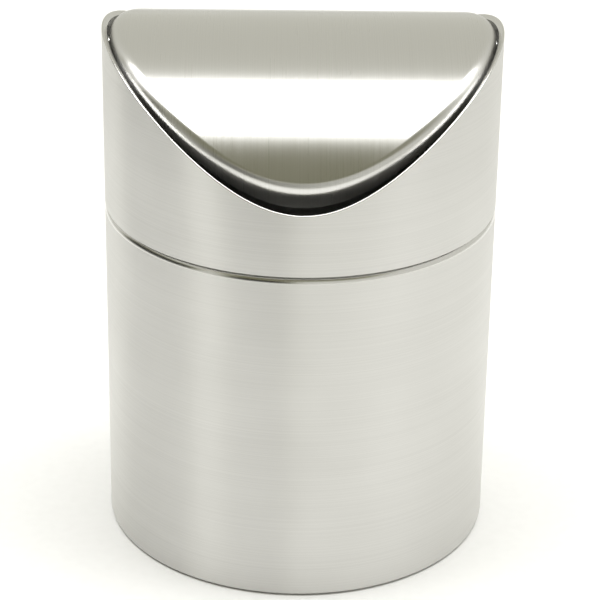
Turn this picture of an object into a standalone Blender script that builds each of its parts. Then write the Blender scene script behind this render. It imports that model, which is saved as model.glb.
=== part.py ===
"""Small desk wastebasket: a round steel can, a lift-off hood and a swing flap.

Metres, +Z up. The origin is the centre of the base on the surface it stands on. The front is at -Y,
and the flap turns about an axis along X, just under the hood's two peaks.
"""

import math

import bmesh
import bpy

MM = 0.001
FULL_TURN = 2.0 * math.pi

# Driving sizes
CAN_RADIUS = 60.0 * MM
SHEET = 0.4 * MM
SEAM_HEIGHT = 107.2 * MM
GAP = 0.3 * MM
SEGMENTS = 72
CAN_SEGMENTS = 96

# The hood's scoops and the flap are cut from one round surface that lies along X
SCOOP_RADIUS = 68.0 * MM
SCOOP_AXIS_HEIGHT = SEAM_HEIGHT - 12.85 * MM
RIM_WIDTH = 1.6 * MM
RIM_SLOPE = 48.0
RIM_EDGE_RADIUS = 0.35 * MM

# Can
SHOULDER_RADIUS = 2.2 * MM
MOUTH_RADIUS = CAN_RADIUS - 2.7 * MM
LOWER_EDGE = 0.4 * MM
LOWER_EDGE_RADIUS = 0.8 * MM

# Floor and foot
FLOOR_TOP = 2.4 * MM
PAN_RIM_LOW = 1.1 * MM
PAN_BEND_RADIUS = 0.6 * MM
FOOT_OUTER = 54.8 * MM
FOOT_INNER = 46.0 * MM
FOOT_CHAMFER = 0.4 * MM

# Collar inside the hood
COLLAR_BAND_TOP = SEAM_HEIGHT + 7.0 * MM
COLLAR_PLUG_DEPTH = 12.0 * MM

# Flap
FLAP_SHEET = 0.5 * MM
FLAP_RISE = 0.6 * MM
FLAP_CLEARANCE = 0.7 * MM
FLAP_FOLD_RADIUS = 4.0 * MM
FLAP_SKIRT = 4.4 * MM
FLAP_SKIRT_EXTRA = 3.2 * MM
FLAP_TUCK = math.radians(22.0)
FLAP_NARROWING = 1.6 * MM
FLAP_RADIUS = CAN_RADIUS - RIM_WIDTH - FLAP_CLEARANCE
FLAP_SURFACE_RADIUS = SCOOP_RADIUS + FLAP_RISE

# Pivot
PIVOT_HEIGHT = SCOOP_AXIS_HEIGHT + SCOOP_RADIUS - 6.5 * MM
SMALL_SEGMENTS = 24
STUD_RADIUS = 1.25 * MM
STUD_SHOULDER_RADIUS = 1.75 * MM
STUD_BASE_RADIUS = 2.2 * MM
STUD_BASE_OUT = CAN_RADIUS - 1.95 * MM
STUD_BASE_IN = STUD_BASE_OUT - 0.6 * MM
STUD_SHOULDER_IN = FLAP_RADIUS - FLAP_SHEET
STUD_TIP = 50.8 * MM
STUD_CHAMFER = 0.4 * MM
PLATE_THICKNESS = 0.8 * MM
PLATE_OUT = CAN_RADIUS - SHEET - GAP
PLATE_HALF_ANGLE = math.radians(6.0)
PLATE_LOW = PIVOT_HEIGHT - 6.0 * MM
PLATE_HIGH = PIVOT_HEIGHT + 3.5 * MM
HANGER_SHEET = 0.7 * MM
HANGER_OUT = 54.3 * MM
HANGER_IN = 43.0 * MM
HANGER_HALF_WIDTH = 4.5 * MM
HANGER_TOP = SCOOP_AXIS_HEIGHT + FLAP_SURFACE_RADIUS - FLAP_SHEET - 0.5 * MM
HANGER_BEND_RADIUS = 1.2 * MM
BUSH_BORE = STUD_RADIUS + GAP
BUSH_RADIUS = 2.2 * MM
BUSH_FLANGE_RADIUS = 3.4 * MM
BUSH_FLANGE = 0.6 * MM
HANGER_HOLE = BUSH_RADIUS + GAP
CLIP_RADIUS = 2.8 * MM
CLIP_THICKNESS = 0.6 * MM


def clear_scene():
    for old in list(bpy.data.objects):
        bpy.data.objects.remove(old, do_unlink=True)


def make_material(name, colour, metallic, roughness):
    material = bpy.data.materials.new(name)
    material.use_nodes = True
    shader = material.node_tree.nodes["Principled BSDF"]
    shader.inputs["Base Color"].default_value = (*colour, 1.0)
    shader.inputs["Metallic"].default_value = metallic
    shader.inputs["Roughness"].default_value = roughness
    return material


def make_empty(name, height):
    empty = bpy.data.objects.new(name, None)
    empty.location = (0.0, 0.0, height)
    bpy.context.scene.collection.objects.link(empty)
    return empty


def make_object(name, mesh, parent=None):
    obj = bpy.data.objects.new(name, mesh)
    bpy.context.scene.collection.objects.link(obj)
    obj.parent = parent
    return obj


def finish_mesh(name, bm, material, sharp_angle=35.0):
    """Turn a bmesh into a mesh with outward faces, shaded smooth except at real edges."""
    bmesh.ops.remove_doubles(bm, verts=bm.verts[:], dist=1e-7)
    bmesh.ops.recalc_face_normals(bm, faces=bm.faces[:])
    mesh = bpy.data.meshes.new(name)
    bm.to_mesh(mesh)
    bm.free()
    mesh.materials.append(material)
    mesh.shade_smooth()
    mesh.set_sharp_from_angle(angle=math.radians(sharp_angle))
    return mesh


def arc(centre, radius, start_deg, end_deg, steps):
    """Points (r, z) on an arc, both ends included."""
    points = []
    for i in range(steps + 1):
        angle = math.radians(start_deg + (end_deg - start_deg) * i / steps)
        points.append((centre[0] + radius * math.cos(angle), centre[1] + radius * math.sin(angle)))
    return points


def turned_mesh(name, profile, material, along="Z", segments=SEGMENTS, base=0.0):
    """Spin an outline of (radius, length) points about Z, or about X, into a closed ring or disc.

    base is taken off every length, so that the mesh can sit on a raised origin.
    An outline that starts and ends on the axis makes a solid; any other makes a ring.
    """
    bm = bmesh.new()
    verts = []
    for radius, length in profile:
        if along == "Z":
            verts.append(bm.verts.new((0.0, -radius, length - base)))
        else:
            verts.append(bm.verts.new((length, 0.0, radius)))
    edges = [bm.edges.new(pair) for pair in zip(verts, verts[1:])]
    solid = profile[0][0] == 0.0 and profile[-1][0] == 0.0
    if not solid:
        edges.append(bm.edges.new((verts[-1], verts[0])))
    axis = (0.0, 0.0, 1.0) if along == "Z" else (1.0, 0.0, 0.0)
    bmesh.ops.spin(bm, geom=verts + edges, cent=(0.0, 0.0, 0.0), axis=axis, angle=FULL_TURN,
                   steps=segments, use_merge=True)
    bmesh.ops.remove_doubles(bm, verts=bm.verts[:], dist=1e-7)
    bmesh.ops.dissolve_degenerate(bm, edges=bm.edges[:], dist=1e-7)
    return finish_mesh(name, bm, material)


def add_strip(bm, loop_a, loop_b):
    """Quads between two closed loops with the same number of vertices."""
    count = len(loop_a)
    for i in range(count):
        j = (i + 1) % count
        bm.faces.new((loop_a[i], loop_a[j], loop_b[j], loop_b[i]))


def plan_point(radius, angle):
    """A point at a plan radius, with angle 0 at the front and growing towards +X."""
    return radius * math.sin(angle), -radius * math.cos(angle)


def round_surface_height(y, surface_radius):
    return SCOOP_AXIS_HEIGHT + math.sqrt(surface_radius ** 2 - y ** 2)


# Can -----------------------------------------------------------------------------------------------

def body_shell_mesh(material):
    wall_in = CAN_RADIUS - SHEET
    shoulder_top = SEAM_HEIGHT - GAP
    shoulder = (CAN_RADIUS - SHOULDER_RADIUS, shoulder_top - SHOULDER_RADIUS)
    edge = (CAN_RADIUS - LOWER_EDGE_RADIUS, LOWER_EDGE + LOWER_EDGE_RADIUS)
    outside = arc(edge, LOWER_EDGE_RADIUS, -90.0, 0.0, 3)
    outside += arc(shoulder, SHOULDER_RADIUS, 0.0, 90.0, 6)
    outside += [(MOUTH_RADIUS, shoulder_top)]
    inside = [(MOUTH_RADIUS, shoulder_top - SHEET)]
    inside += arc(shoulder, SHOULDER_RADIUS - SHEET, 90.0, 0.0, 4)
    inside += [(wall_in, edge[1])]
    inside += arc(edge, LOWER_EDGE_RADIUS - SHEET, -30.0, -90.0, 2)
    return turned_mesh("body_shell", outside + inside, material, segments=CAN_SEGMENTS)


def base_pan_mesh(material):
    """The floor: a pressed disc with its rim turned down inside the can's lower edge."""
    floor_low = FLOOR_TOP - SHEET
    wall_out = CAN_RADIUS - SHEET - GAP
    wall_in = wall_out - SHEET
    inner_bend = PAN_BEND_RADIUS - SHEET
    bend = (wall_out - PAN_BEND_RADIUS, FLOOR_TOP - PAN_BEND_RADIUS)
    profile = [(0.0, floor_low)] + arc(bend, inner_bend, 90.0, 0.0, 2)
    profile += [(wall_in, PAN_RIM_LOW), (wall_out, PAN_RIM_LOW)]
    profile += arc(bend, PAN_BEND_RADIUS, 0.0, 90.0, 3) + [(0.0, FLOOR_TOP)]
    return turned_mesh("base_pan", profile, material)


def foot_ring_mesh(material):
    top = FLOOR_TOP - SHEET - GAP
    profile = [(FOOT_INNER + FOOT_CHAMFER, 0.0), (FOOT_OUTER - FOOT_CHAMFER, 0.0)]
    profile += [(FOOT_OUTER, FOOT_CHAMFER), (FOOT_OUTER, top), (FOOT_INNER, top), (FOOT_INNER, FOOT_CHAMFER)]
    return turned_mesh("foot_ring", profile, material)


# Hood ----------------------------------------------------------------------------------------------

def hood_section(angle):
    """The hood's outline at one plan angle: wall, rounded edge, and a lip that slopes in and down."""
    top = round_surface_height(CAN_RADIUS * math.cos(angle), SCOOP_RADIUS)
    rim_in = CAN_RADIUS - RIM_WIDTH
    wall_in = CAN_RADIUS - SHEET
    edge = (CAN_RADIUS - RIM_EDGE_RADIUS, top - RIM_EDGE_RADIUS)
    section = [(CAN_RADIUS, SEAM_HEIGHT)]
    section += arc(edge, RIM_EDGE_RADIUS, 0.0, 90.0 + RIM_SLOPE, 3)
    steep = math.tan(math.radians(RIM_SLOPE))
    lip_low = section[-1][1] - (section[-1][0] - rim_in) * steep
    inner_radius = rim_in + SHEET * math.sin(math.radians(RIM_SLOPE))
    inner_low = lip_low - SHEET * math.cos(math.radians(RIM_SLOPE))
    section += [(rim_in, lip_low), (inner_radius, inner_low)]
    section += [(wall_in, inner_low + (wall_in - inner_radius) * steep), (wall_in, SEAM_HEIGHT)]
    return section


def hood_shell_mesh(material):
    bm = bmesh.new()
    loops = []
    for i in range(SEGMENTS):
        angle = FULL_TURN * i / SEGMENTS
        loop = []
        for radius, height in hood_section(angle):
            x, y = plan_point(radius, angle)
            loop.append(bm.verts.new((x, y, height - SEAM_HEIGHT)))
        loops.append(loop)
    for i in range(SEGMENTS):
        add_strip(bm, loops[i], loops[(i + 1) % SEGMENTS])
    return finish_mesh("hood_shell", bm, material)


def hood_collar_mesh(material):
    band_out = CAN_RADIUS - SHEET - GAP
    plug_out = MOUTH_RADIUS - GAP
    ledge_low = SEAM_HEIGHT
    ledge_top = ledge_low + SHEET
    plug_low = SEAM_HEIGHT - COLLAR_PLUG_DEPTH
    profile = [(plug_out, plug_low), (plug_out, ledge_low), (band_out, ledge_low), (band_out, COLLAR_BAND_TOP)]
    profile += [(band_out - SHEET, COLLAR_BAND_TOP), (band_out - SHEET, ledge_top)]
    profile += [(plug_out - SHEET, ledge_top), (plug_out - SHEET, plug_low)]
    return turned_mesh("hood_collar", profile, material, base=SEAM_HEIGHT)


def pivot_plate_mesh(material):
    """A curved plate on the hood's inner wall, centred on +X."""
    bm = bmesh.new()
    steps = 6
    loops = []
    for i in range(steps + 1):
        angle = -PLATE_HALF_ANGLE + 2.0 * PLATE_HALF_ANGLE * i / steps
        loop = []
        for radius, height in (
            (PLATE_OUT, PLATE_LOW),
            (PLATE_OUT, PLATE_HIGH),
            (PLATE_OUT - PLATE_THICKNESS, PLATE_HIGH),
            (PLATE_OUT - PLATE_THICKNESS, PLATE_LOW),
        ):
            place = (radius * math.cos(angle), radius * math.sin(angle), height - SEAM_HEIGHT)
            loop.append(bm.verts.new(place))
        loops.append(loop)
    for loop_a, loop_b in zip(loops, loops[1:]):
        add_strip(bm, loop_a, loop_b)
    bm.faces.new(loops[0])
    bm.faces.new(loops[-1])
    return finish_mesh("pivot_plate", bm, material)


def pivot_stud_mesh(material):
    profile = [(0.0, STUD_TIP), (STUD_RADIUS - STUD_CHAMFER, STUD_TIP), (STUD_RADIUS, STUD_TIP + STUD_CHAMFER)]
    profile += [(STUD_RADIUS, STUD_SHOULDER_IN), (STUD_SHOULDER_RADIUS, STUD_SHOULDER_IN)]
    profile += [(STUD_SHOULDER_RADIUS, STUD_BASE_IN), (STUD_BASE_RADIUS, STUD_BASE_IN)]
    profile += [(STUD_BASE_RADIUS, STUD_BASE_OUT), (0.0, STUD_BASE_OUT)]
    return turned_mesh("pivot_stud", profile, material, along="X", segments=SMALL_SEGMENTS)


def clip_mesh(material):
    clip_out = HANGER_OUT - HANGER_SHEET - GAP - BUSH_FLANGE - GAP
    clip_in = clip_out - CLIP_THICKNESS
    profile = [(BUSH_BORE, clip_in), (CLIP_RADIUS, clip_in), (CLIP_RADIUS, clip_out), (BUSH_BORE, clip_out)]
    return turned_mesh("clip", profile, material, along="X", segments=SMALL_SEGMENTS)


# Flap ----------------------------------------------------------------------------------------------

def flap_section(angle, inset):
    """Half a radial section of the flap, from its middle to the skirt's lower edge.

    inset is 0 for the outer face and the sheet's thickness for the inner one. At the front and back the
    flap is narrower and its skirt is deeper and tucks in; over the pivots the skirt hangs straight and short.
    """
    lean = math.cos(angle) ** 2
    outline_radius = FLAP_RADIUS - FLAP_NARROWING * lean
    surface_radius = FLAP_SURFACE_RADIUS - inset
    edge_radius = outline_radius - inset
    fold_radius = FLAP_FOLD_RADIUS - inset
    slope = 0.0
    for _ in range(20):
        start = edge_radius - fold_radius * (1.0 - math.sin(slope))
        slope = math.atan(start * lean / math.sqrt(surface_radius ** 2 - start ** 2 * lean))
    section = []
    ring_count = 8
    for ring in range(1, ring_count + 1):
        radius = start * ring / ring_count
        section.append((radius, round_surface_height(radius * math.cos(angle), surface_radius)))
    fold_centre = (edge_radius - fold_radius, section[-1][1] - fold_radius * math.cos(slope))
    tuck = FLAP_TUCK * lean
    section += arc(fold_centre, fold_radius, 90.0 - math.degrees(slope), -math.degrees(tuck), 5)[1:]
    edge_height = round_surface_height(outline_radius * math.cos(angle), FLAP_SURFACE_RADIUS)
    skirt_low = edge_height - FLAP_SKIRT - FLAP_SKIRT_EXTRA * lean
    radius, height = section[-1]
    section.append((radius - (height - skirt_low) * math.tan(tuck), skirt_low))
    return section


def flap_shell_mesh(material):
    bm = bmesh.new()
    skirt_ends = []
    for inset in (0.0, FLAP_SHEET):
        middle = bm.verts.new((0.0, 0.0, round_surface_height(0.0, FLAP_SURFACE_RADIUS - inset) - PIVOT_HEIGHT))
        sections = [flap_section(FULL_TURN * i / SEGMENTS, inset) for i in range(SEGMENTS)]
        rings = []
        for level in range(len(sections[0])):
            ring = []
            for i, section in enumerate(sections):
                radius, height = section[level]
                x, y = plan_point(radius, FULL_TURN * i / SEGMENTS)
                ring.append(bm.verts.new((x, y, height - PIVOT_HEIGHT)))
            rings.append(ring)
        for i in range(SEGMENTS):
            bm.faces.new((middle, rings[0][i], rings[0][(i + 1) % SEGMENTS]))
        for inner, outer in zip(rings, rings[1:]):
            add_strip(bm, inner, outer)
        skirt_ends.append(rings[-1])
    add_strip(bm, *skirt_ends)
    return finish_mesh("flap_shell", bm, material)


def hanger_mesh(material):
    """A bent tab on the +X side: a leaf under the flap and a leg with a round end and a hole."""
    top = HANGER_TOP - PIVOT_HEIGHT
    bend = (HANGER_OUT - HANGER_BEND_RADIUS, top - HANGER_BEND_RADIUS)
    outer = [(HANGER_IN, top)] + arc(bend, HANGER_BEND_RADIUS, 90.0, 0.0, 4) + [(HANGER_OUT, -HANGER_HALF_WIDTH)]
    inner = [(HANGER_OUT - HANGER_SHEET, -HANGER_HALF_WIDTH)]
    inner += arc(bend, HANGER_BEND_RADIUS - HANGER_SHEET, 0.0, 90.0, 4)
    inner += [(HANGER_IN, top - HANGER_SHEET)]
    bm = bmesh.new()
    verts = [bm.verts.new((x, -HANGER_HALF_WIDTH, z)) for x, z in outer + inner]
    side = bm.faces.new(verts)
    grown = bmesh.ops.extrude_face_region(bm, geom=[side])
    moved = [item for item in grown["geom"] if isinstance(item, bmesh.types.BMVert)]
    bmesh.ops.translate(bm, vec=(0.0, 2.0 * HANGER_HALF_WIDTH, 0.0), verts=moved)
    return finish_mesh("hanger", bm, material)


def add_cutter(name, mesh, parent):
    cutter = make_object(name, mesh, parent)
    cutter.hide_render = True
    cutter.display_type = "WIRE"
    return cutter


def cut(obj, cutter, operation="DIFFERENCE"):
    boolean = obj.modifiers.new(cutter.name, "BOOLEAN")
    boolean.operation = operation
    boolean.solver = "EXACT"
    boolean.object = cutter


def leg_round_mesh(material):
    """The outline that the hanger's leg is trimmed to: a round end with straight sides above it."""
    bm = bmesh.new()
    reach_in = HANGER_IN - 1.0 * MM
    reach_out = HANGER_OUT + 1.0 * MM
    outline = []
    half = HANGER_HALF_WIDTH
    for y, z in arc((0.0, 0.0), half, 180.0, 360.0, 12):
        outline.append((y, z))
    outline += [(half, HANGER_TOP - PIVOT_HEIGHT + 1.0 * MM), (-half, HANGER_TOP - PIVOT_HEIGHT + 1.0 * MM)]
    near = [bm.verts.new((reach_in, y, z)) for y, z in outline]
    far = [bm.verts.new((reach_out, y, z)) for y, z in outline]
    add_strip(bm, near, far)
    bm.faces.new(near)
    bm.faces.new(far)
    return finish_mesh("leg_round", bm, material)


def hole_mesh(material):
    profile = [(0.0, HANGER_OUT - 3.0 * MM), (HANGER_HOLE, HANGER_OUT - 3.0 * MM)]
    profile += [(HANGER_HOLE, HANGER_OUT + 3.0 * MM), (0.0, HANGER_OUT + 3.0 * MM)]
    return turned_mesh("hole", profile, material, along="X", segments=SMALL_SEGMENTS)


def bush_mesh(material):
    flange_out = HANGER_OUT - HANGER_SHEET - GAP
    flange_in = flange_out - BUSH_FLANGE
    barrel_out = STUD_SHOULDER_IN - GAP
    profile = [(BUSH_BORE, flange_in), (BUSH_FLANGE_RADIUS, flange_in), (BUSH_FLANGE_RADIUS, flange_out)]
    profile += [(BUSH_RADIUS, flange_out), (BUSH_RADIUS, barrel_out), (BUSH_BORE, barrel_out)]
    return turned_mesh("bush", profile, material, along="X", segments=SMALL_SEGMENTS)


# Assembly ------------------------------------------------------------------------------------------

def build():
    clear_scene()
    brushed = make_material("brushed_steel", (0.62, 0.61, 0.57), 1.0, 0.32)
    plain_steel = make_material("plain_steel", (0.55, 0.55, 0.53), 1.0, 0.4)
    nylon = make_material("white_nylon", (0.78, 0.77, 0.72), 0.0, 0.5)
    soft_black = make_material("soft_black", (0.03, 0.03, 0.03), 0.0, 0.75)

    hood_seat = make_empty("hood_seat", SEAM_HEIGHT)
    hood_hinge = make_empty("hood_hinge", PIVOT_HEIGHT)
    flap_hinge = make_empty("flap_hinge", PIVOT_HEIGHT)

    make_object("body_shell", body_shell_mesh(brushed))
    make_object("base_pan", base_pan_mesh(plain_steel))
    make_object("foot_ring", foot_ring_mesh(soft_black))

    make_object("hood_shell", hood_shell_mesh(brushed), hood_seat)
    make_object("hood_collar", hood_collar_mesh(plain_steel), hood_seat)
    make_object("flap_shell", flap_shell_mesh(brushed), flap_hinge)

    plate = pivot_plate_mesh(plain_steel)
    stud = pivot_stud_mesh(plain_steel)
    clip = clip_mesh(plain_steel)
    hanger = hanger_mesh(plain_steel)
    bush = bush_mesh(nylon)
    leg_round = leg_round_mesh(plain_steel)
    hole = hole_mesh(plain_steel)
    for side, turn in (("right", 0.0), ("left", math.pi)):
        make_object("pivot_plate_" + side, plate, hood_seat).rotation_euler.z = turn
        make_object("pivot_stud_" + side, stud, hood_hinge).rotation_euler.z = turn
        make_object("clip_" + side, clip, hood_hinge).rotation_euler.z = turn
        make_object("bush_" + side, bush, flap_hinge).rotation_euler.z = turn
        tab = make_object("hanger_" + side, hanger, flap_hinge)
        tab.rotation_euler.z = turn
        for name, mesh, operation in (("leg_end", leg_round, "INTERSECT"), ("pin_hole", hole, "DIFFERENCE")):
            cutter = add_cutter(name + "_" + side, mesh, flap_hinge)
            cutter.rotation_euler.z = turn
            cut(tab, cutter, operation)


build()
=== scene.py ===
"""How the small desk wastebasket looks: brushed steel on a pale floor, in a pale room under a soft light."""

import math

import bmesh
import bpy
from mathutils import Matrix, Vector


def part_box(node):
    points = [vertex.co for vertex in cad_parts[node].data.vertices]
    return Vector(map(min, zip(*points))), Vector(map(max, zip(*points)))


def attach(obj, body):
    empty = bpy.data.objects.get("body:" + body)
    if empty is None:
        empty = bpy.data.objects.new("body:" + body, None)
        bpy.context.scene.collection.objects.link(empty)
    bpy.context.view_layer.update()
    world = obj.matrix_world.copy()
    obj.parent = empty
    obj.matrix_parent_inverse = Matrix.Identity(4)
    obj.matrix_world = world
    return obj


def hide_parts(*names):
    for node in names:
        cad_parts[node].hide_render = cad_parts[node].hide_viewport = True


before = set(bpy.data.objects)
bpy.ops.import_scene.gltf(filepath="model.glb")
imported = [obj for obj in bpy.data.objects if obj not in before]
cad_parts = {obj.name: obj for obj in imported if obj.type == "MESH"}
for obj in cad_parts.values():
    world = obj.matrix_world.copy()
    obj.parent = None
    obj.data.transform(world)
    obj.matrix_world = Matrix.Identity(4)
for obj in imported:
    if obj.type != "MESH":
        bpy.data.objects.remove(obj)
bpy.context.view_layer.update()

MM = 0.001
FULL_TURN = 2.0 * math.pi
SEGMENTS = 240
SHARP_ANGLE = math.radians(40.0)

# Sizes that the frame gives
BODY_LOW, BODY_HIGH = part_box("body_shell")
HOOD_LOW, HOOD_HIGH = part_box("hood_shell")
FLAP_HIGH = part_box("flap_shell")[1]
CAN_RADIUS = HOOD_HIGH[0]
SEAM_HEIGHT = HOOD_LOW[2]
FLAP_RADIUS = FLAP_HIGH[0]

# Sizes of the sheet metal, as on the solid parts
SHEET = 0.4 * MM
FLAP_SHEET = 0.5 * MM
SCOOP_RADIUS = 68.0 * MM
SCOOP_AXIS_HEIGHT = HOOD_HIGH[2] - SCOOP_RADIUS
FLAP_SURFACE_RADIUS = FLAP_HIGH[2] - SCOOP_AXIS_HEIGHT
RIM_WIDTH = 1.6 * MM
RIM_SLOPE = 48.0
RIM_EDGE_RADIUS = 0.35 * MM
SHOULDER_RADIUS = 2.2 * MM
MOUTH_RADIUS = CAN_RADIUS - 2.7 * MM
LOWER_EDGE_RADIUS = 0.8 * MM
FLAP_FOLD_RADIUS = 4.0 * MM
FLAP_SKIRT = 4.4 * MM
FLAP_SKIRT_EXTRA = 3.2 * MM
FLAP_TUCK = math.radians(22.0)
FLAP_NARROWING = 1.6 * MM

# How finely the curves are drawn
LOWER_EDGE_STEPS = 8
SHOULDER_STEPS = 16
RIM_STEPS = 8
FLAP_RINGS = 24
FLAP_FOLD_STEPS = 18
SLOPE_ROUNDS = 20


# Shells --------------------------------------------------------------------------------------------

def arc(centre, radius, start_deg, end_deg, steps):
    """Points (radius, height) on an arc, both ends included."""
    points = []
    for i in range(steps + 1):
        angle = math.radians(start_deg + (end_deg - start_deg) * i / steps)
        points.append((centre[0] + radius * math.cos(angle), centre[1] + radius * math.sin(angle)))
    return points


def round_surface_height(y, surface_radius):
    return SCOOP_AXIS_HEIGHT + math.sqrt(surface_radius ** 2 - y ** 2)


def wall_uv(length, angle):
    """U runs up the wall, across the brushing, and V runs round the can."""
    return length, angle * CAN_RADIUS


def flap_uv(length, angle):
    """The flap laid out flat: U runs side to side, across the brushing, and V front to back."""
    return length * math.sin(angle), length * math.cos(angle)


def shell_mesh(name, section_at, uv_at, closed):
    """Join the outlines at all plan angles into one skin. Angle 0 is the front, growing towards +X."""
    bm = bmesh.new()
    uv_layer = bm.loops.layers.uv.new("brushing")
    rows = []
    for i in range(SEGMENTS):
        angle = FULL_TURN * i / SEGMENTS
        section = section_at(angle)
        lengths = [0.0]
        for start, end in zip(section, section[1:] + section[:1]):
            lengths.append(lengths[-1] + math.dist(start, end))
        row = []
        for radius, height in section:
            row.append(bm.verts.new((radius * math.sin(angle), -radius * math.cos(angle), height)))
        rows.append((row, lengths))
    count = len(rows[0][0])
    for i in range(SEGMENTS):
        row_a, lengths_a = rows[i]
        row_b, lengths_b = rows[(i + 1) % SEGMENTS]
        angle_a = FULL_TURN * i / SEGMENTS
        angle_b = FULL_TURN * (i + 1) / SEGMENTS
        for j in range(count if closed else count - 1):
            k = (j + 1) % count
            face = bm.faces.new((row_a[j], row_b[j], row_b[k], row_a[k]))
            corners = (
                (lengths_a[j], angle_a),
                (lengths_b[j], angle_b),
                (lengths_b[j + 1], angle_b),
                (lengths_a[j + 1], angle_a),
            )
            for loop, corner in zip(face.loops, corners):
                loop[uv_layer].uv = uv_at(*corner)
    bmesh.ops.remove_doubles(bm, verts=bm.verts[:], dist=1e-7)
    bmesh.ops.recalc_face_normals(bm, faces=bm.faces[:])
    mesh = bpy.data.meshes.new(name)
    bm.to_mesh(mesh)
    bm.free()
    mesh.shade_smooth()
    mesh.set_sharp_from_angle(angle=SHARP_ANGLE)
    return mesh


def polish(mesh, material, lowest, upward):
    """Give the faces above a height that look up by more than a limit their own finish."""
    mesh.materials.append(material)
    for face in mesh.polygons:
        if face.normal.z > upward and face.center.z > lowest:
            face.material_index = len(mesh.materials) - 1


def body_section(_angle):
    """Rounded lower edge, wall and a shoulder turned in to the mouth, then back down the inside."""
    top = BODY_HIGH[2]
    shoulder = (CAN_RADIUS - SHOULDER_RADIUS, top - SHOULDER_RADIUS)
    edge = (CAN_RADIUS - LOWER_EDGE_RADIUS, BODY_LOW[2] + LOWER_EDGE_RADIUS)
    section = arc(edge, LOWER_EDGE_RADIUS, -90.0, 0.0, LOWER_EDGE_STEPS)
    section += arc(shoulder, SHOULDER_RADIUS, 0.0, 90.0, SHOULDER_STEPS)
    section += [(MOUTH_RADIUS, top), (MOUTH_RADIUS, top - SHEET)]
    section += arc(shoulder, SHOULDER_RADIUS - SHEET, 90.0, 0.0, SHOULDER_STEPS // 2)
    section += arc(edge, LOWER_EDGE_RADIUS - SHEET, 0.0, -90.0, LOWER_EDGE_STEPS // 2)
    return section


def hood_section(angle):
    """The hood's outline at one plan angle: wall, rounded edge, and a lip that slopes in and down."""
    top = round_surface_height(CAN_RADIUS * math.cos(angle), SCOOP_RADIUS)
    rim_in = CAN_RADIUS - RIM_WIDTH
    wall_in = CAN_RADIUS - SHEET
    edge = (CAN_RADIUS - RIM_EDGE_RADIUS, top - RIM_EDGE_RADIUS)
    section = [(CAN_RADIUS, SEAM_HEIGHT)]
    section += arc(edge, RIM_EDGE_RADIUS, 0.0, 90.0 + RIM_SLOPE, RIM_STEPS)
    steep = math.tan(math.radians(RIM_SLOPE))
    lip_low = section[-1][1] - (section[-1][0] - rim_in) * steep
    inner_radius = rim_in + SHEET * math.sin(math.radians(RIM_SLOPE))
    inner_low = lip_low - SHEET * math.cos(math.radians(RIM_SLOPE))
    section += [(rim_in, lip_low), (inner_radius, inner_low)]
    section += [(wall_in, inner_low + (wall_in - inner_radius) * steep), (wall_in, SEAM_HEIGHT)]
    return section


def flap_half_section(angle, inset):
    """From the flap's middle out over its arch and fold to the skirt's lower edge.

    At the front and back the flap is narrower, and its skirt is deeper and tucks in.
    Over the pivots the skirt is short and hangs straight.
    """
    lean = math.cos(angle) ** 2
    outline_radius = FLAP_RADIUS - FLAP_NARROWING * lean
    surface_radius = FLAP_SURFACE_RADIUS - inset
    edge_radius = outline_radius - inset
    fold_radius = FLAP_FOLD_RADIUS - inset
    # The fold starts where the arch has the same slope, found by going back and forth between the two
    slope = 0.0
    for _ in range(SLOPE_ROUNDS):
        start = edge_radius - fold_radius * (1.0 - math.sin(slope))
        slope = math.atan(start * lean / math.sqrt(surface_radius ** 2 - start ** 2 * lean))
    section = []
    for ring in range(FLAP_RINGS + 1):
        radius = start * ring / FLAP_RINGS
        section.append((radius, round_surface_height(radius * math.cos(angle), surface_radius)))
    fold_centre = (edge_radius - fold_radius, section[-1][1] - fold_radius * math.cos(slope))
    tuck = FLAP_TUCK * lean
    fold = arc(fold_centre, fold_radius, 90.0 - math.degrees(slope), -math.degrees(tuck), FLAP_FOLD_STEPS)
    section += fold[1:]
    edge_height = round_surface_height(outline_radius * math.cos(angle), FLAP_SURFACE_RADIUS)
    skirt_low = edge_height - FLAP_SKIRT - FLAP_SKIRT_EXTRA * lean
    radius, height = section[-1]
    section.append((radius - (height - skirt_low) * math.tan(tuck), skirt_low))
    return section


def flap_section(angle):
    return flap_half_section(angle, 0.0) + flap_half_section(angle, FLAP_SHEET)[::-1]


# Materials -----------------------------------------------------------------------------------------

# Streaks are given as features per metre along X, Y and Z
WALL_STREAKS = (15.0, 15.0, 9000.0)
FLAP_STREAKS = (9000.0, 15.0, 15.0)
STEEL_DARK = (0.69, 0.685, 0.665)
STEEL_LIGHT = (0.73, 0.725, 0.705)
NOISE_LOW = 0.3
NOISE_HIGH = 0.7
FINE_DETAIL = 3.0
BROAD_DETAIL = 2.0
BROAD_STREAKS = 0.4
STREAK_SPREAD = 0.03
STREAK_STRENGTH = 0.045
STREAK_DEPTH = 0.004 * MM
STEEL_CLOUD = 35.0
STEEL_CLOUD_SPREAD = 0.015
PLAIN_CLOUD = 60.0
PLAIN_SPREAD = 0.06
GRAIN_STRENGTH = 0.3


def new_material(name):
    material = bpy.data.materials.new(name)
    material.use_nodes = True
    return material, material.node_tree.nodes, material.node_tree.links


def noise(nodes, links, scale_xyz, detail=FINE_DETAIL):
    """Noise over the object's own space, in features per metre along each axis."""
    place = nodes.new("ShaderNodeTexCoord")
    mapping = nodes.new("ShaderNodeMapping")
    mapping.inputs["Scale"].default_value = scale_xyz
    texture = nodes.new("ShaderNodeTexNoise")
    texture.inputs["Scale"].default_value = 1.0
    texture.inputs["Detail"].default_value = detail
    links.new(place.outputs["Object"], mapping.inputs["Vector"])
    links.new(mapping.outputs["Vector"], texture.inputs["Vector"])
    return texture.outputs["Fac"]


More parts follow.
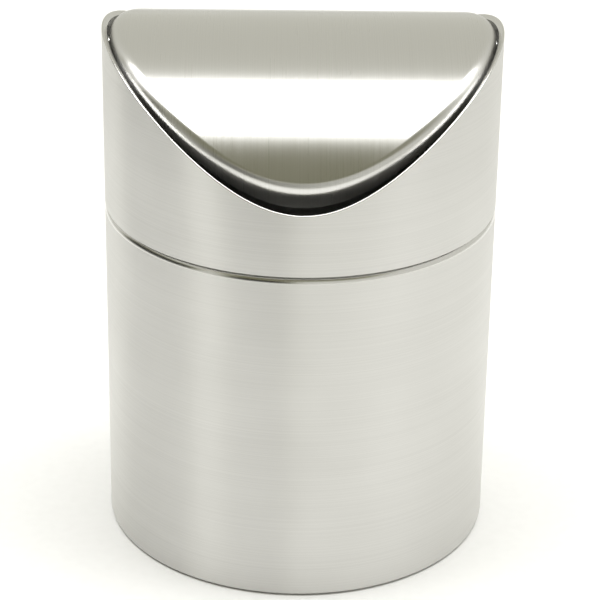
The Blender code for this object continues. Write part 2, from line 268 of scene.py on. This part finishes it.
def spread(nodes, links, value, low, high):
    """The middle of the noise's range stretched between two values."""
    node = nodes.new("ShaderNodeMapRange")
    node.inputs["From Min"].default_value = NOISE_LOW
    node.inputs["From Max"].default_value = NOISE_HIGH
    node.inputs["To Min"].default_value = low
    node.inputs["To Max"].default_value = high
    links.new(value, node.inputs["Value"])
    return node.outputs["Result"]


def tint(nodes, links, value, dark, light):
    """A colour between two, by a value from 0 to 1."""
    mix = nodes.new("ShaderNodeMix")
    mix.data_type = "RGBA"
    mix.inputs["A"].default_value = (*dark, 1.0)
    mix.inputs["B"].default_value = (*light, 1.0)
    links.new(value, mix.inputs["Factor"])
    return mix.outputs["Result"]


def brushed_steel(name, streaks, roughness, anisotropy):
    """Steel brushed one way: streaks gives how fine the noise is along each axis."""
    material, nodes, links = new_material(name)
    shader = nodes["Principled BSDF"]
    shader.inputs["Metallic"].default_value = 1.0
    shader.inputs["Anisotropic"].default_value = anisotropy
    fine = noise(nodes, links, streaks)
    broad = noise(nodes, links, [BROAD_STREAKS * value for value in streaks], BROAD_DETAIL)
    cloud = noise(nodes, links, (STEEL_CLOUD, STEEL_CLOUD, STEEL_CLOUD), BROAD_DETAIL)
    colour = tint(nodes, links, spread(nodes, links, broad, 0.0, 1.0), STEEL_DARK, STEEL_LIGHT)
    links.new(colour, shader.inputs["Base Color"])
    total = nodes.new("ShaderNodeMath")
    total.operation = "ADD"
    streak_roughness = spread(nodes, links, fine, roughness - STREAK_SPREAD, roughness + STREAK_SPREAD)
    links.new(streak_roughness, total.inputs[0])
    links.new(spread(nodes, links, cloud, -STEEL_CLOUD_SPREAD, STEEL_CLOUD_SPREAD), total.inputs[1])
    links.new(total.outputs["Value"], shader.inputs["Roughness"])
    bump = nodes.new("ShaderNodeBump")
    bump.inputs["Strength"].default_value = STREAK_STRENGTH
    bump.inputs["Distance"].default_value = STREAK_DEPTH
    links.new(fine, bump.inputs["Height"])
    links.new(bump.outputs["Normal"], shader.inputs["Normal"])
    tangent = nodes.new("ShaderNodeTangent")
    tangent.direction_type = "UV_MAP"
    tangent.uv_map = "brushing"
    links.new(tangent.outputs["Tangent"], shader.inputs["Tangent"])
    return material


def plain_finish(name, dark, light, roughness, metallic, grain, depth):
    """Rolled, moulded or rubber finish: an even grain with a slight change of colour."""
    material, nodes, links = new_material(name)
    shader = nodes["Principled BSDF"]
    shader.inputs["Metallic"].default_value = metallic
    fine = noise(nodes, links, (grain, grain, grain))
    cloud = noise(nodes, links, (PLAIN_CLOUD, PLAIN_CLOUD, PLAIN_CLOUD), BROAD_DETAIL)
    colour = tint(nodes, links, spread(nodes, links, cloud, 0.0, 1.0), dark, light)
    links.new(colour, shader.inputs["Base Color"])
    grain_roughness = spread(nodes, links, fine, roughness - PLAIN_SPREAD, roughness + PLAIN_SPREAD)
    links.new(grain_roughness, shader.inputs["Roughness"])
    bump = nodes.new("ShaderNodeBump")
    bump.inputs["Strength"].default_value = GRAIN_STRENGTH
    bump.inputs["Distance"].default_value = depth
    links.new(fine, bump.inputs["Height"])
    links.new(bump.outputs["Normal"], shader.inputs["Normal"])
    return material


wall_steel = brushed_steel("wall_steel", WALL_STREAKS, roughness=0.40, anisotropy=0.93)
flap_steel = brushed_steel("flap_steel", FLAP_STREAKS, roughness=0.30, anisotropy=0.90)
rim_steel = brushed_steel("rim_steel", WALL_STREAKS, roughness=0.24, anisotropy=0.40)
rolled_steel = plain_finish("rolled_steel", (0.48, 0.48, 0.46), (0.58, 0.58, 0.56), roughness=0.38,
                            metallic=1.0, grain=4000.0, depth=0.01 * MM)
turned_steel = plain_finish("turned_steel", (0.60, 0.60, 0.58), (0.68, 0.68, 0.66), roughness=0.25,
                            metallic=1.0, grain=6000.0, depth=0.005 * MM)
nylon = plain_finish("nylon", (0.72, 0.71, 0.66), (0.80, 0.79, 0.74), roughness=0.48,
                     metallic=0.0, grain=2500.0, depth=0.02 * MM)
foot_rubber = plain_finish("foot_rubber", (0.022, 0.022, 0.023), (0.035, 0.035, 0.036), roughness=0.75,
                           metallic=0.0, grain=2500.0, depth=0.03 * MM)


# Pieces --------------------------------------------------------------------------------------------

def add_piece(name, mesh, material, body, node):
    piece = bpy.data.objects.new(name, mesh)
    bpy.context.scene.collection.objects.link(piece)
    mesh.materials.append(material)
    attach(piece, body)
    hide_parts(node)


SHOULDER_UPWARD = 0.05
RIM_UPWARD = 0.35

can_mesh = shell_mesh("can_skin", body_section, wall_uv, closed=True)
hood_mesh = shell_mesh("hood_skin", hood_section, wall_uv, closed=True)
flap_mesh = shell_mesh("flap_skin", flap_section, flap_uv, closed=False)
add_piece("can_skin", can_mesh, wall_steel, "can", "body_shell")
add_piece("hood_skin", hood_mesh, wall_steel, "hood", "hood_shell")
add_piece("flap_skin", flap_mesh, flap_steel, "flap", "flap_shell")
polish(can_mesh, rim_steel, BODY_HIGH[2] - SHOULDER_RADIUS, SHOULDER_UPWARD)
polish(hood_mesh, rim_steel, SEAM_HEIGHT, RIM_UPWARD)

FINISHES = {
    "base_pan": rolled_steel,
    "foot_ring": foot_rubber,
    "hood_collar": rolled_steel,
    "pivot_plate": rolled_steel,
    "pivot_stud": turned_steel,
    "clip": turned_steel,
    "hanger": rolled_steel,
    "bush": nylon,
}
for node_name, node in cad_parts.items():
    family = node_name.replace("_left", "").replace("_right", "")
    if family in FINISHES:
        node.data.materials.clear()
        node.data.materials.append(FINISHES[family])


# Floor ---------------------------------------------------------------------------------------------

FLOOR_REACH = 40.0
FLOOR_DARK = (0.93, 0.93, 0.93)
FLOOR_LIGHT = (0.95, 0.95, 0.95)
FLOOR_GRAIN = 300.0


def add_floor():
    bm = bmesh.new()
    corners = []
    for side_x, side_y in ((-1, -1), (1, -1), (1, 1), (-1, 1)):
        corners.append(bm.verts.new((side_x * FLOOR_REACH, side_y * FLOOR_REACH, 0.0)))
    bm.faces.new(corners)
    mesh = bpy.data.meshes.new("floor")
    bm.to_mesh(mesh)
    bm.free()
    material, nodes, links = new_material("pale_floor")
    shader = nodes["Principled BSDF"]
    paper = noise(nodes, links, (FLOOR_GRAIN, FLOOR_GRAIN, FLOOR_GRAIN), BROAD_DETAIL)
    colour = tint(nodes, links, spread(nodes, links, paper, 0.0, 1.0), FLOOR_DARK, FLOOR_LIGHT)
    links.new(colour, shader.inputs["Base Color"])
    shader.inputs["Roughness"].default_value = 0.9
    shader.inputs["Specular IOR Level"].default_value = 0.1
    mesh.materials.append(material)
    floor = bpy.data.objects.new("floor", mesh)
    bpy.context.scene.collection.objects.link(floor)


add_floor()


# Light ---------------------------------------------------------------------------------------------

def math_node(nodes, links, operation, first, second=None):
    node = nodes.new("ShaderNodeMath")
    node.operation = operation
    for socket, value in zip(node.inputs, (first, second)):
        if isinstance(value, (int, float)):
            socket.default_value = value
        elif value is not None:
            links.new(value, socket)
    return node.outputs["Value"]


def soft_step(nodes, links, value, start, end):
    """0 before start, 1 after end, and a smooth change between."""
    node = nodes.new("ShaderNodeMapRange")
    node.interpolation_type = "SMOOTHSTEP"
    node.inputs["From Min"].default_value = start
    node.inputs["From Max"].default_value = end
    links.new(value, node.inputs["Value"])
    return node.outputs["Result"]


def dim(nodes, links, level, value, within, low, high, soft, keep):
    """Scale the level to keep where a value in degrees lies between low and high, inside a 0 to 1 mask."""
    rise = soft_step(nodes, links, value, low - soft, low + soft)
    fall = soft_step(nodes, links, value, high - soft, high + soft)
    mask = math_node(nodes, links, "MULTIPLY", math_node(nodes, links, "SUBTRACT", rise, fall), within)
    loss = math_node(nodes, links, "MULTIPLY", mask, 1.0 - keep)
    return math_node(nodes, links, "MULTIPLY", level, math_node(nodes, links, "SUBTRACT", 1.0, loss))


# Where the room is dimmed: from and to in degrees, the soft edge, and the share of the level kept
ABOVE_FRONT = (36.0, 73.0, 4.0, 0.27)
ABOVE_BACK = (109.0, 176.0, 3.0, 0.86)
LEFT = (-118.0, -62.0, 5.0, 0.0)
FRONT_LEFT = (-44.0, -4.0, 6.0, 0.0)
ASIDE_FADE = (0.45, 0.75)
UPWARD_FADE = (0.40, 0.70)
ROOM_LEVEL = 0.77
GREEN_POWER = 1.02
BLUE_POWER = 1.30


def set_room():
    """A pale room by direction: dimmer above the front and back, and dark low at the left and front left."""
    world = bpy.data.worlds.new("studio")
    world.use_nodes = True
    bpy.context.scene.world = world
    nodes = world.node_tree.nodes
    links = world.node_tree.links
    split = nodes.new("ShaderNodeSeparateXYZ")
    links.new(nodes.new("ShaderNodeTexCoord").outputs["Generated"], split.inputs["Vector"])
    x, y, z = split.outputs
    front = math_node(nodes, links, "MULTIPLY", y, -1.0)
    over = math_node(nodes, links, "DEGREES", math_node(nodes, links, "ARCTAN2", z, front))
    around = math_node(nodes, links, "DEGREES", math_node(nodes, links, "ARCTAN2", x, front))
    aside = math_node(nodes, links, "ABSOLUTE", x)
    middle = math_node(nodes, links, "SUBTRACT", 1.0, soft_step(nodes, links, aside, *ASIDE_FADE))
    lower = math_node(nodes, links, "SUBTRACT", 1.0, soft_step(nodes, links, z, *UPWARD_FADE))
    level = dim(nodes, links, ROOM_LEVEL, over, middle, *ABOVE_FRONT)
    level = dim(nodes, links, level, over, middle, *ABOVE_BACK)
    level = dim(nodes, links, level, around, lower, *LEFT)
    level = dim(nodes, links, level, around, lower, *FRONT_LEFT)
    colour = nodes.new("ShaderNodeCombineColor")
    links.new(level, colour.inputs["Red"])
    links.new(math_node(nodes, links, "POWER", level, GREEN_POWER), colour.inputs["Green"])
    links.new(math_node(nodes, links, "POWER", level, BLUE_POWER), colour.inputs["Blue"])
    links.new(colour.outputs["Color"], nodes["Background"].inputs["Color"])


LAMP_PLACE = (0.0, -0.01, 1.46)
LAMP_WIDTH = 1.9
LAMP_DEPTH = 0.67
LAMP_RADIANCE = 5.5


def add_overhead_light():
    """One big soft light straight above the object, facing down."""
    light = bpy.data.lights.new("overhead", "AREA")
    light.shape = "RECTANGLE"
    light.size = LAMP_WIDTH
    light.size_y = LAMP_DEPTH
    light.energy = LAMP_RADIANCE * math.pi * LAMP_WIDTH * LAMP_DEPTH
    lamp = bpy.data.objects.new("overhead", light)
    lamp.location = LAMP_PLACE
    bpy.context.scene.collection.objects.link(lamp)


set_room()
add_overhead_light()
bpy.context.scene.view_settings.view_transform = "Standard"


# Camera --------------------------------------------------------------------------------------------

CAMERA_DISTANCE = 0.70256
CAMERA_HEIGHT = 0.40994
CAMERA_YAW = math.radians(0.03)
CAMERA_PITCH = math.radians(25.74)
CAMERA_ROLL = math.radians(0.90)
CAMERA_TURN = math.radians(-0.91)
LENS = 148.96
SENSOR_WIDTH = 36.0
NEAREST = 0.05


def add_camera():
    """A long lens that looks down at the front, carried a little round the can by the camera's turn."""
    place = Vector((0.0, -CAMERA_DISTANCE, CAMERA_HEIGHT))
    turn = Matrix.Rotation(CAMERA_TURN, 3, "Z")
    right = Vector((math.cos(CAMERA_YAW), -math.sin(CAMERA_YAW), 0.0))
    level = Vector((math.sin(CAMERA_YAW), math.cos(CAMERA_YAW), 0.0))
    forward = math.cos(CAMERA_PITCH) * level - math.sin(CAMERA_PITCH) * Vector((0.0, 0.0, 1.0))
    up = right.cross(forward)
    across = math.cos(CAMERA_ROLL) * right + math.sin(CAMERA_ROLL) * up
    upright = math.cos(CAMERA_ROLL) * up - math.sin(CAMERA_ROLL) * right
    axes = turn @ Matrix((across, upright, -forward)).transposed()
    data = bpy.data.cameras.new("camera")
    data.sensor_width = SENSOR_WIDTH
    data.lens = LENS
    data.clip_start = NEAREST
    camera = bpy.data.objects.new("camera", data)
    camera.matrix_world = Matrix.Translation(turn @ place) @ axes.to_4x4()
    bpy.context.scene.collection.objects.link(camera)
    bpy.context.scene.camera = camera


add_camera()
